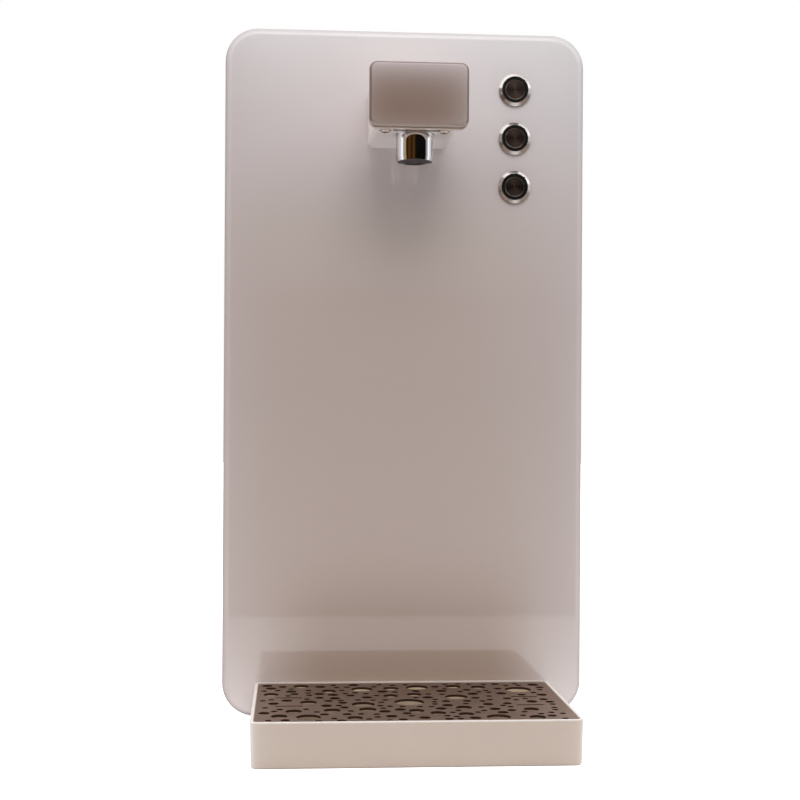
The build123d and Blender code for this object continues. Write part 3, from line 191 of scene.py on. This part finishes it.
# ---------------------------------------------------------------- material helpers
class Finish:
    """A material under construction: its shader, and short ways to drive it."""

    def __init__(self, name, colour, roughness, metallic=0.0):
        self.material = bpy.data.materials.new(name)
        self.material.use_nodes = True
        self.tree = self.material.node_tree
        self.shader = self.tree.nodes["Principled BSDF"]
        self.shader.inputs["Base Color"].default_value = (*colour, 1)
        self.shader.inputs["Roughness"].default_value = roughness
        self.shader.inputs["Metallic"].default_value = metallic
        self.height = None
        self.coords = self.add("ShaderNodeTexCoord").outputs["Object"]

    def add(self, kind):
        return self.tree.nodes.new(kind)

    def link(self, source, target):
        self.tree.links.new(source, target)

    def set(self, **values):
        """Constant values on the shader's own sockets, with _ for spaces."""
        for key, value in values.items():
            self.shader.inputs[key.replace("_", " ")].default_value = value
        return self

    def math(self, operation, first, second=None):
        node = self.add("ShaderNodeMath")
        node.operation = operation
        for socket, value in zip(node.inputs, (first, second)):
            if value is None:
                continue
            if isinstance(value, (int, float)):
                socket.default_value = value
            else:
                self.link(value, socket)
        return node.outputs[0]

    def noise(self, size, detail=3.0, stretch=(1, 1, 1), rough=0.5):
        """Noise whose blotches are about size metres across, divided by stretch along each axis."""
        mapping = self.add("ShaderNodeMapping")
        mapping.inputs["Scale"].default_value = stretch
        self.link(self.coords, mapping.inputs[0])
        node = self.add("ShaderNodeTexNoise")
        node.inputs["Scale"].default_value = 1 / size
        node.inputs["Detail"].default_value = detail
        node.inputs["Roughness"].default_value = rough
        self.link(mapping.outputs[0], node.inputs["Vector"])
        return node.outputs["Fac"]

    def between(self, source, low, high, source_low=0.3, source_high=0.7):
        """Map a noise value to a range of numbers."""
        node = self.add("ShaderNodeMapRange")
        node.inputs["From Min"].default_value = source_low
        node.inputs["From Max"].default_value = source_high
        node.inputs["To Min"].default_value = low
        node.inputs["To Max"].default_value = high
        self.link(source, node.inputs["Value"])
        return node.outputs[0]

    def vary_roughness(self, source, low, high):
        self.link(self.between(source, low, high), self.shader.inputs["Roughness"])
        return self

    def vary_colour(self, source, colour, amount=1.0, low=0.3, high=0.7):
        """Mix towards another colour where the source is high."""
        mix = self.add("ShaderNodeMix")
        mix.data_type = "RGBA"
        self.link(self.between(source, 0, amount, low, high), mix.inputs["Factor"])
        previous = self.shader.inputs["Base Color"]
        if previous.is_linked:
            self.link(previous.links[0].from_socket, mix.inputs[MIX_A])
        else:
            mix.inputs[MIX_A].default_value = previous.default_value
        mix.inputs[MIX_B].default_value = (*colour, 1)
        self.link(mix.outputs[MIX_RESULT], previous)
        return self

    def bump(self, source, depth):
        """Add relief, depth in metres."""
        node = self.add("ShaderNodeBump")
        node.inputs["Strength"].default_value = 1.0
        node.inputs["Distance"].default_value = depth
        self.link(source, node.inputs["Height"])
        if self.height is not None:
            self.link(self.height, node.inputs["Normal"])
        self.height = node.outputs[0]
        self.link(self.height, self.shader.inputs["Normal"])
        return self

    def edge(self, colour, amount, low=0.52, high=0.62):
        """Edges in another colour, from the surface's curvature: wear on some parts, a painted highlight on
        others.
        """
        pointiness = self.add("ShaderNodeNewGeometry").outputs["Pointiness"]
        return self.vary_colour(pointiness, colour, amount, low, high)

    def outwards_from(self, centre, axis):
        """The vector to the surface from a line through centre along axis, in metres."""
        offset = self.add("ShaderNodeVectorMath")
        offset.operation = "SUBTRACT"
        self.link(self.coords, offset.inputs[0])
        offset.inputs[1].default_value = centre
        flat = self.add("ShaderNodeVectorMath")
        flat.operation = "MULTIPLY"
        self.link(offset.outputs[0], flat.inputs[0])
        flat.inputs[1].default_value = [0 if k == axis else 1 for k in range(3)]
        return flat.outputs[0]

    def length_of(self, vector):
        """The length of a vector."""
        node = self.add("ShaderNodeVectorMath")
        node.operation = "LENGTH"
        self.link(vector, node.inputs[0])
        return node.outputs["Value"]

    def unit_of(self, vector):
        """The vector's direction, with a length of 1."""
        node = self.add("ShaderNodeVectorMath")
        node.operation = "NORMALIZE"
        self.link(vector, node.inputs[0])
        return node.outputs[0]

    def normal_along(self, axis):
        """The surface normal's part along an axis, -1 to 1."""
        split = self.add("ShaderNodeSeparateXYZ")
        self.link(self.add("ShaderNodeNewGeometry").outputs["Normal"], split.inputs[0])
        return split.outputs[axis]

    def part_of_normal(self, axis):
        """How squarely the surface faces along an axis, 0 to 1."""
        return self.math("ABSOLUTE", self.normal_along(axis))

    def place_along(self, axis):
        """The surface's place along an axis, in metres."""
        split = self.add("ShaderNodeSeparateXYZ")
        self.link(self.coords, split.inputs[0])
        return split.outputs[axis]

    def glow(self, colour, sides):
        """Painted light: base colour made paler near a plate's outline, fading towards the middle.
        Each side is an axis, the place of the outline, how far the glow reaches and its strength."""
        split = self.add("ShaderNodeSeparateXYZ")
        self.link(self.coords, split.inputs[0])
        dark = None
        for axis, place, reach, strength in sides:
            gap = self.math("ABSOLUTE", self.math("SUBTRACT", place, split.outputs[axis]))
            fade = self.math("EXPONENT", self.math("MULTIPLY", gap, -1 / reach))
            rest = self.math("SUBTRACT", 1, self.math("MULTIPLY", fade, strength))
            dark = rest if dark is None else self.math("MULTIPLY", dark, rest)
        return self.vary_colour(self.math("SUBTRACT", 1, dark), colour, 1, 0, 1)

    def fade_up(self, stops):
        """Base colour that changes with height, from (height in metres, colour) pairs."""
        low, high = stops[0][0], stops[-1][0]
        ramp = self.add("ShaderNodeValToRGB")
        self.link(self.between(self.place_along(Z), 0, 1, low, high), ramp.inputs[0])
        elements = ramp.color_ramp.elements
        while len(elements) < len(stops):
            elements.new(0.5)
        for element, (height, colour) in zip(elements, stops):
            element.position = (height - low) / (high - low)
            element.color = (*colour, 1)
        self.link(ramp.outputs[0], self.shader.inputs["Base Color"])
        return self

    def mask(self, axis, low, high):
        """A soft step from 0 to 1 between two places along an axis."""
        step = self.add("ShaderNodeMapRange")
        step.interpolation_type = "SMOOTHSTEP"
        step.inputs["From Min"].default_value = low
        step.inputs["From Max"].default_value = high
        self.link(self.place_along(axis), step.inputs["Value"])
        return step.outputs[0]

    def grooves(self, radius, pitch, depth, wobble=0.0):
        """Fine turned grooves round an axis."""
        phase = self.math("MULTIPLY", radius, 2 * math.pi / pitch)
        if wobble:
            phase = self.math("ADD", phase, self.between(self.noise(0.003), 0, wobble))
        return self.bump(self.math("SINE", phase), depth)


def brushed(name, colour, roughness, stretch, size=0.0006, depth=2e-6):
    """Metal with fine straight brush lines."""
    finish = Finish(name, colour, roughness, 1.0)
    lines = finish.noise(size, 4.0, stretch, 0.6)
    finish.vary_roughness(lines, roughness * 0.75, roughness * 1.3)
    finish.vary_colour(finish.noise(0.02), [c * 0.86 for c in colour], 0.7)
    finish.bump(lines, depth)
    return finish


def plastic(name, colour, roughness, grain=0.0005, depth=4e-6, shade=0.94):
    """Moulded plastic with a fine spark-eroded grain and a faint cloudiness."""
    finish = Finish(name, colour, roughness)
    grain_noise = finish.noise(grain, 3.0)
    finish.vary_roughness(grain_noise, roughness * 0.85, min(1.0, roughness * 1.15))
    finish.vary_colour(finish.noise(0.03, 4.0), [c * shade for c in colour], 0.8)
    finish.bump(grain_noise, depth)
    return finish


def paint(finish, *names):
    """Give a finish to CAD nodes."""
    for name in names:
        data = nodes[name].data
        data.materials.clear()
        data.materials.append(finish.material)


# ---------------------------------------------------------------- finishes
def panel_finish():
    """Frosted acrylic, painted behind, with a polished face; painted light makes it paler towards its top and
    outline.
    """
    finish = Finish("panel_acrylic", (0.545, 0.445, 0.40), 0.5)
    finish.set(Specular_IOR_Level=0.3, Coat_Roughness=0.04, Coat_IOR=1.7)
    # painted light: the base colour grows paler with height, for light falling from above
    finish.fade_up([
        (0.06, (0.572, 0.480, 0.435)), (0.15, (0.550, 0.458, 0.412)), (0.23, (0.538, 0.447, 0.406)),
        (0.29, (0.564, 0.466, 0.427)), (0.345, (0.631, 0.548, 0.509)), (0.385, (0.700, 0.630, 0.618)),
        (0.42, (0.770, 0.703, 0.702)), (0.445, (0.853, 0.793, 0.798)), (0.47, (0.953, 0.901, 0.906))])
    finish.vary_colour(finish.noise(0.25, 2.0), (0.57, 0.47, 0.43), 0.06)
    # painted light: paler near the left and right sides and towards the foot
    finish.glow((0.66, 0.60, 0.60), [
        (X, panel_low.x, 0.020, 0.45), (X, panel_high.x, 0.030, 0.7), (Z, panel_low.z, 0.02, 0.6)])
    finish.glow((0.86, 0.81, 0.79), [(Z, panel_low.z, 0.012, 0.6)])
    # painted light: the plate is palest in its upper right corner and along its top edge
    corner_light_reach = 0.07
    below_top = finish.math("SUBTRACT", finish.place_along(Z), panel_high.z)
    painted_corner_light = finish.math("EXPONENT", finish.math("MULTIPLY", below_top, 1 / corner_light_reach))
    painted_corner_light = finish.math("MULTIPLY", painted_corner_light, finish.mask(X, 0.0, 0.14))
    finish.vary_colour(painted_corner_light, (1, 1, 1), 0.6, 0, 1)
    finish.glow((1, 1, 1), [(Z, panel_high.z, 0.006, 1.0)])
    # painted reflection and shade: the plate's foot is browner between the tray's ends, where it mirrors the
    # drip plate and the tray keeps light off
    foot_reflection_and_shade = finish.math("MULTIPLY", finish.mask(X, tray_low.x - 0.004, tray_low.x + 0.055),
                       finish.mask(X, tray_high.x + 0.004, tray_high.x - 0.045))
    foot_reflection_and_shade = finish.math("MULTIPLY", foot_reflection_and_shade, finish.mask(Z, 0.130, 0.020))
    finish.vary_colour(foot_reflection_and_shade, (0.42, 0.31, 0.24), 0.85, 0, 1)
    # painted shade: the rounded edge is darker, more so where it faces up, and only the flat face is polished
    squareness = finish.part_of_normal(Y)
    finish.vary_colour(squareness, (0.33, 0.29, 0.275), 0.9, 0.97, 0.45)
    finish.vary_colour(finish.normal_along(Z), (0.42, 0.38, 0.37), 0.45, 0.15, 0.6)
    polish = finish.between(squareness, 0.0, 1.0, 0.975, 0.9995)
    finish.link(polish, finish.shader.inputs["Coat Weight"])
    finish.vary_roughness(finish.noise(0.04, 4.0), 0.46, 0.54)
    finish.bump(finish.noise(0.0012, 2.0), 5e-7)
    return finish


def cover_finish():
    """Frosted brown-grey acrylic, with painted light paler round its outline."""
    low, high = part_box("spout_cover")
    finish = Finish("frosted_acrylic", (0.262, 0.173, 0.128), 0.5)
    finish.set(Specular_IOR_Level=0.3, Coat_Weight=0.1, Coat_Roughness=0.3)
    finish.vary_colour(finish.noise(0.03, 2.0), (0.252, 0.165, 0.122), 0.5)
    # painted light: paler towards each side, most along the top
    finish.glow((0.80, 0.72, 0.73), [
        (X, low.x, 0.006, 0.18), (X, high.x, 0.009, 0.35),
        (Z, low.z, 0.0045, 0.2), (Z, high.z, 0.0085, 0.9)])
    # painted shade on the dark rounded edge, and painted light on the pale one along the bottom
    outline = finish.between(finish.part_of_normal(Y), 0, 1, 0.985, 0.88)
    outline = finish.math("MULTIPLY", outline, finish.mask(Z, low.z + 0.0015, low.z + 0.0035))
    finish.vary_colour(outline, (0.16, 0.10, 0.08), 0.85, 0, 1)
    painted_bottom_light = finish.mask(Z, low.z + 0.0022, low.z + 0.0008)
    finish.vary_colour(painted_bottom_light, (0.46, 0.37, 0.32), 0.8, 0, 1)
    finish.bump(finish.noise(0.0004, 3.0), 2e-6)
    return finish


def cream_finish(name):
    """Cream moulding with a fine satin grain."""
    finish = plastic(name, (0.54, 0.445, 0.376), 0.42, shade=0.97)
    return finish.set(Coat_Weight=0.15, Coat_Roughness=0.3)


def tray_finish():
    """The cream of the tray, with painted highlights at its rim and side corners and a glow of painted light
    inside its thin pan.
    """
    finish = cream_finish("cream_tray")
    # painted highlights: paler at the two ends and along the top rim
    finish.glow((0.74, 0.72, 0.69), [(X, tray_low.x, 0.004, 0.6), (X, tray_high.x, 0.004, 0.5)])
    rim = finish.mask(Z, tray_high.z - 0.0011, tray_high.z - 0.0004)
    finish.vary_colour(rim, (0.74, 0.70, 0.66), 0.8, 0, 1)
    # painted light: the inside of the pan glows, brighter towards its top, though it is no lamp
    inset = 0.0010
    pan_glow_mask = finish.mask(Z, tray_high.z - 0.0008, tray_high.z - 0.0018)
    for axis in (X, Y):
        low, high = tray_low[axis], tray_high[axis]
        pan_glow_mask = finish.math("MULTIPLY", pan_glow_mask, finish.mask(axis, low + inset, low + 2 * inset))
        pan_glow_mask = finish.math("MULTIPLY", pan_glow_mask, finish.mask(axis, high - inset, high - 2 * inset))
    finish.set(Emission_Color=(1.0, 0.80, 0.56, 1))
    pan_glow_strength = finish.between(finish.place_along(Z), 0.05, 0.30, tray_low.z + 0.010, tray_high.z - 0.002)
    finish.link(finish.math("MULTIPLY", pan_glow_mask, pan_glow_strength), finish.shader.inputs["Emission Strength"])
    return finish


def white_finish():
    """White moulding of the spout, with painted shade making it greyer to the right."""
    finish = plastic("white_plastic", (0.74, 0.68, 0.655), 0.4, shade=0.97)
    # painted shade: greyer towards the right
    finish.vary_colour(finish.mask(X, 0.008, 0.030), (0.60, 0.545, 0.52), 0.8, 0, 1)
    return finish.set(Coat_Weight=0.15, Coat_Roughness=0.3)


def casing_finish():
    """Powder coat with its fine orange peel."""
    finish = Finish("casing_paint", (0.47, 0.44, 0.42), 0.45)
    peel = finish.noise(0.0016, 2.0)
    finish.vary_roughness(peel, 0.40, 0.52)
    finish.vary_colour(finish.noise(0.12, 4.0), (0.44, 0.412, 0.393), 0.6)
    finish.bump(peel, 2.2e-5)
    finish.bump(finish.noise(0.0004, 2.0), 4e-6)
    return finish.edge((0.60, 0.57, 0.55), 0.5)


def chrome_finish():
    """Mirror chrome, with painted shade and reflection darkening it at its outline and underneath."""
    finish = Finish("chrome", (0.90, 0.90, 0.91), 0.045, 1.0)
    finish.vary_roughness(finish.noise(0.006, 5.0), 0.03, 0.075)
    # painted reflection: darker where it faces sideways, at its outline
    finish.vary_colour(finish.part_of_normal(Y), (0.20, 0.20, 0.22), 0.9, 0.38, 0.18)
    # painted shade: darker underneath
    finish.vary_colour(finish.normal_along(Z), (0.06, 0.06, 0.062), 0.95, -0.3, -0.8)
    finish.bump(finish.noise(0.004, 3.0), 1e-6)
    return finish


def turned_finish(name, colour, roughness, centre, pitch, depth):
    """Metal turned about the line along Y through centre, with the streaked shine that turning gives."""
    finish = Finish(name, colour, roughness, 1.0)
    finish.set(Anisotropic=0.6)
    outwards = finish.outwards_from(centre, Y)
    radius = finish.length_of(outwards)
    rings = finish.add("ShaderNodeTexNoise")
    rings.noise_dimensions = "1D"
    rings.inputs["Scale"].default_value = 1 / pitch
    rings.inputs["Detail"].default_value = 4
    finish.link(radius, rings.inputs["W"])
    finish.vary_roughness(rings.outputs["Fac"], roughness * 0.8, roughness * 1.2)
    finish.vary_colour(rings.outputs["Fac"], [c * 0.8 for c in colour], 0.7)
    finish.grooves(radius, pitch, depth, 0.8)
    finish.link(finish.unit_of(outwards), finish.shader.inputs["Tangent"])
    return finish


def grille_finish():
    """Tinted stainless plate brushed from side to side, with painted light near its ends and painted shade in
    the walls of its holes.
    """
    low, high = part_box("drip_grille")
    finish = brushed("grille_steel", (0.39, 0.305, 0.255), 0.40, (0.03, 1, 1), 0.0005, 2.5e-6)
    finish.set(Specular_Tint=(0.42, 0.33, 0.28, 1))
    # painted light: paler towards both ends
    finish.glow((0.62, 0.52, 0.48), [(X, low.x, 0.030, 0.45), (X, high.x, 0.030, 0.45)])
    finish.edge((0.50, 0.43, 0.38), 0.6, 0.55, 0.7)
    # painted shade: the walls of its holes are dark
    return finish.vary_colour(finish.part_of_normal(Z), (0.09, 0.058, 0.042), 1.0, 0.8, 0.3)


def foam_finish():
    """Closed-cell insulating foam."""
    finish = Finish("foam", (0.42, 0.42, 0.41), 0.95)
    cells = finish.add("ShaderNodeTexVoronoi")
    cells.inputs["Scale"].default_value = 700
    finish.link(finish.coords, cells.inputs["Vector"])
    finish.vary_colour(cells.outputs["Distance"], (0.25, 0.25, 0.25), 0.7)
    finish.bump(cells.outputs["Distance"], 2e-4)
    return finish


def hose_finish():
    """Milky silicone tube."""
    finish = Finish("hose", (0.75, 0.77, 0.76), 0.3)
    finish.set(Transmission_Weight=0.35, IOR=1.41)
    finish.vary_roughness(finish.noise(0.01, 3.0), 0.25, 0.4)
    return finish


def board_finish():
    """Green circuit board with paler traces."""
    finish = Finish("circuit_board", (0.02, 0.11, 0.05), 0.35)
    traces = finish.add("ShaderNodeTexBrick")
    traces.inputs["Scale"].default_value = 160
    traces.inputs["Color1"].default_value = (0.02, 0.10, 0.045, 1)
    traces.inputs["Color2"].default_value = (0.03, 0.15, 0.07, 1)
    traces.inputs["Mortar"].default_value = (0.08, 0.24, 0.11, 1)
    finish.link(finish.coords, traces.inputs["Vector"])
    finish.link(traces.outputs["Color"], finish.shader.inputs["Base Color"])
    finish.vary_roughness(finish.noise(0.003), 0.3, 0.5)
    return finish


def paint_button(number):
    """Give a push button's bezel and cap their turned finishes, centred on the button, with painted shade and
    reflection on the bezel's lower side and a painted highlight on the cap's rim.
    """
    low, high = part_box(f"button_bezel_{number}")
    centre = (low + high) / 2
    bezel = turned_finish(f"stainless_bezel_{number}", (0.62, 0.58, 0.55), 0.16, centre, 0.0003, 1e-6)
    upwards = bezel.normal_along(Z)
    lower_corner_reflection = bezel.math("MULTIPLY", bezel.part_of_normal(X), upwards)
    # painted shade: the bezel darker where it faces down, and a painted dark reflection at its lower left and
    # right
    bezel.vary_colour(upwards, (0.40, 0.35, 0.32), 0.7, -0.2, -0.5)
    bezel.vary_colour(lower_corner_reflection, (0.16, 0.11, 0.085), 0.9, -0.06, -0.17)
    paint(bezel, f"button_bezel_{number}")
    cap = turned_finish(f"dark_steel_{number}", (0.105, 0.070, 0.055), 0.28, centre, 0.0006, 3e-6)
    # painted highlight: the cap's sharp rim paler
    cap.edge((0.34, 0.29, 0.26), 0.8, 0.53, 0.6)
    paint(cap, f"button_cap_{number}")


def paint_everything():
    """Assign a finish to every CAD node."""
    paint(panel_finish(), "front_panel")
    paint(cover_finish(), "spout_cover")
    paint(cream_finish("cream_plastic"), "spout_cover_frame")
    paint(tray_finish(), "drip_tray")
    paint(white_finish(), "spout_housing")
    paint(casing_finish(), "casing_shell", "rear_cover")
    paint(chrome_finish(), "nozzle_body")
    paint(plastic("outlet_plastic", (0.035, 0.033, 0.032), 0.35), "aerator_insert")
    paint(grille_finish(), "drip_grille")
    for number in (1, 2, 3):
        paint_button(number)
    glossy_black = plastic("black_ring", (0.008, 0.008, 0.009), 0.22)
    paint(glossy_black, "button_ring_1", "button_ring_2", "button_ring_3")
    paint(plastic("black_plastic", (0.02, 0.02, 0.021), 0.42),
          "button_switches", "drain_fitting", "drain_cap", "power_inlet", "rocker_frames", "thermostats",
          "fan_frame", "fan_rotor", "pump_housing")
    paint(plastic("white_fitting", (0.75, 0.75, 0.74), 0.3), "inlet_fitting", "pump_impeller")
    paint(plastic("switch_red", (0.42, 0.02, 0.015), 0.3), "rocker_hot")
    paint(plastic("switch_blue", (0.015, 0.05, 0.32), 0.3), "rocker_cold")
    paint(plastic("rubber", (0.025, 0.025, 0.025), 0.75, 0.001, 2e-5),
          "rubber_feet", "nozzle_gasket", "button_seals", "wiring_loom")
    paint(plastic("coil_body", (0.03, 0.04, 0.09), 0.45), "valve_coils")
    paint(plastic("ceramic", (0.75, 0.74, 0.70), 0.5), "peltier_module")
    paint(brushed("stainless", (0.66, 0.64, 0.62), 0.25, (1, 1, 0.05)),
          "rear_cover_screws", "button_nuts", "heating_element")
    paint(brushed("screw_steel", (0.42, 0.36, 0.31), 0.3, (1, 0.1, 1)), "spout_cover_screws")
    paint(brushed("tank_steel", (0.66, 0.66, 0.65), 0.3, (1, 1, 0.04)),
          "cold_tank", "hot_tank", "valve_plunger_1", "valve_plunger_2", "valve_plunger_3")
    zinc = brushed("zinc_steel", (0.55, 0.56, 0.57), 0.4, (1, 0.2, 1), 0.004)
    paint(zinc, "panel_frame", "base_plate", "spout_housing_screws", "pump_motor", "power_supply")
    paint(brushed("brass", (0.70, 0.52, 0.24), 0.3, (1, 0.1, 1)), "spout_elbow", "spout_nut", "valve_manifold")
    paint(brushed("aluminium", (0.72, 0.73, 0.74), 0.35, (1, 1, 0.03)), "heat_sink")
    paint(foam_finish(), "cold_tank_jacket", "hot_tank_jacket")
    paint(hose_finish(), "water_hoses")
    paint(board_finish(), "control_board")


make_camera()
make_floor()
make_world()
make_lights()
paint_everything()
